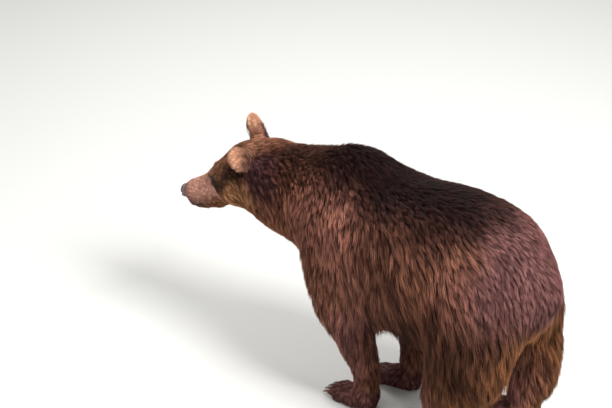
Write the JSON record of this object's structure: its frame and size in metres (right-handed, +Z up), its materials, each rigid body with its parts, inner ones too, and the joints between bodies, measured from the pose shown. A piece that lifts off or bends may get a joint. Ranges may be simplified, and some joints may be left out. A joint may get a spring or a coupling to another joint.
{
  "type": "standing brown bear",
  "caption": "Life-size brown bear standing still on all its feet, head held low and turned to its left, with a shoulder hump, round ears, short tail and long claws.",
  "frame": {"origin": "on the floor under the middle of the whole bear's bounding box", "axes": "the bear faces -Y, its left side is +X, +Z up; +Y runs along the body towards the tail"},
  "size_m": [0.6198, 1.8032, 1.0991],
  "materials": {
    "body_coat": "dark brown fur, paler at the tips",
    "face_coat": "short tan-brown fur",
    "nose_skin": "bare grey-brown nose skin, slightly moist",
    "eye": "wet dark brown eye",
    "claw": "dark horn, paler at the points"
  },
  "bodies": {
    "root": {"ear_left": "face_coat", "ear_right": "face_coat", "eye_left": "eye", "eye_right": "eye", "foreleg_left": "body_coat", "foreleg_right": "body_coat", "forepaw_left": "body_coat", "forepaw_left_claw_1": "claw", "forepaw_left_claw_2": "claw", "forepaw_left_claw_3": "claw", "forepaw_left_claw_4": "claw", "forepaw_left_claw_5": "claw", "forepaw_right": "body_coat", "forepaw_right_claw_1": "claw", "forepaw_right_claw_2": "claw", "forepaw_right_claw_3": "claw", "forepaw_right_claw_4": "claw", "forepaw_right_claw_5": "claw", "head": "face_coat", "hindleg_left": "body_coat", "hindleg_right": "body_coat", "hindpaw_left": "body_coat", "hindpaw_left_claw_1": "claw", "hindpaw_left_claw_2": "claw", "hindpaw_left_claw_3": "claw", "hindpaw_left_claw_4": "claw", "hindpaw_left_claw_5": "claw", "hindpaw_right": "body_coat", "hindpaw_right_claw_1": "claw", "hindpaw_right_claw_2": "claw", "hindpaw_right_claw_3": "claw", "hindpaw_right_claw_4": "claw", "hindpaw_right_claw_5": "claw", "lower_jaw": "face_coat", "neck": "body_coat", "nose": "nose_skin", "tail": "body_coat", "trunk": "body_coat"}
  },
  "joints": []
}
